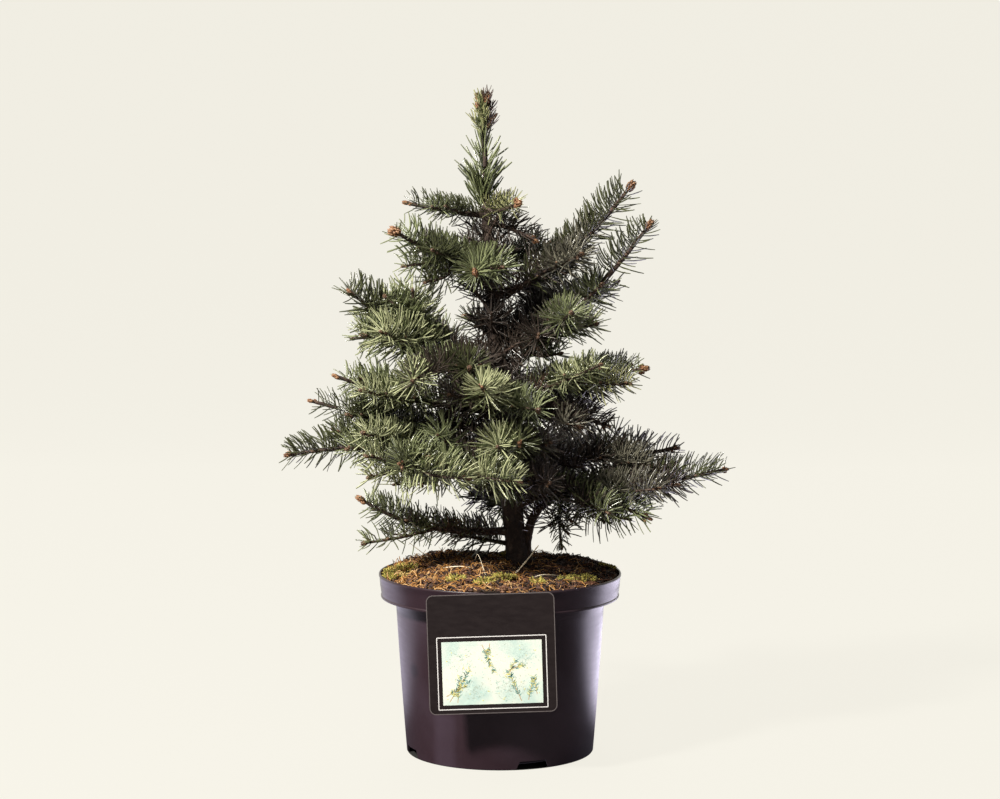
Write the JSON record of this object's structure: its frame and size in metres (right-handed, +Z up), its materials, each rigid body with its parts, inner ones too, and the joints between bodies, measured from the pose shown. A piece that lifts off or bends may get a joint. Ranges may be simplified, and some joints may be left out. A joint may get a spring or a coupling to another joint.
{
  "type": "potted blue spruce",
  "caption": "Young blue spruce with a leaning trunk, whorled boughs and blue-green needles, in a round black nursery pot with a hang card on its rim.",
  "frame": {"origin": "middle of the pot's flat underside, on the surface that the pot stands on", "axes": "+Z up along the plant, -Y towards the front of the pot, where the card hangs, +X to the plant's right as seen from the front"},
  "size_m": [0.405, 0.3023, 0.6119],
  "materials": {
    "pot_plastic": "moulded black plastic with a violet cast, satin, with fine scratches and dust",
    "peat_and_moss": "matt fibrous peat and bark with straw and tufts of moss",
    "printed_card": "smooth printed plastic card with a light frame line and a pale picture panel",
    "bark": "rough scaly dark brown bark",
    "needles": "stiff waxy blue-green needles with brown twigs and orange-brown buds"
  },
  "bodies": {
    "root": {"bough_lower_back_left": "bark", "bough_lower_back_right": "bark", "bough_lower_far_right": "bark", "bough_lower_front": "bark", "bough_lower_front_left": "bark", "bough_lower_hanging_right": "bark", "bough_lower_left": "bark", "bough_lower_right": "bark", "bough_middle_back_left": "bark", "bough_middle_back_right": "bark", "bough_middle_far_left": "bark", "bough_middle_front": "bark", "bough_middle_front_left": "bark", "bough_middle_left": "bark", "bough_middle_right": "bark", "bough_shoulder_back_left": "bark", "bough_shoulder_back_right": "bark", "bough_shoulder_left": "bark", "bough_shoulder_right": "bark", "bough_skirt_left": "bark", "bough_upper_right": "bark", "label_card": "printed_card", "needles_leader": "needles", "needles_lower_back_left": "needles", "needles_lower_back_right": "needles", "needles_lower_far_right": "needles", "needles_lower_front": "needles", "needles_lower_front_left": "needles", "needles_lower_hanging_right": "needles", "needles_lower_left": "needles", "needles_lower_mid_front": "needles", "needles_lower_right": "needles", "needles_middle_back_left": "needles", "needles_middle_back_right": "needles", "needles_middle_far_left": "needles", "needles_middle_front": "needles", "needles_middle_front_left": "needles", "needles_middle_left": "needles", "needles_middle_low_right": "needles", "needles_middle_right": "needles", "needles_shoulder_back": "needles", "needles_shoulder_back_left": "needles", "needles_shoulder_back_right": "needles", "needles_shoulder_left": "needles", "needles_shoulder_right": "needles", "needles_skirt_back": "needles", "needles_skirt_left": "needles", "needles_skirt_small": "needles", "needles_top_back": "needles", "needles_top_front_right": "needles", "needles_top_left": "needles", "needles_top_low_right": "needles", "needles_upper_back_left": "needles", "needles_upper_back_right": "needles", "needles_upper_front": "needles", "needles_upper_left": "needles", "needles_upper_right": "needles", "pot": "pot_plastic", "root_ball": "peat_and_moss", "trunk": "bark"}
  },
  "joints": []
}
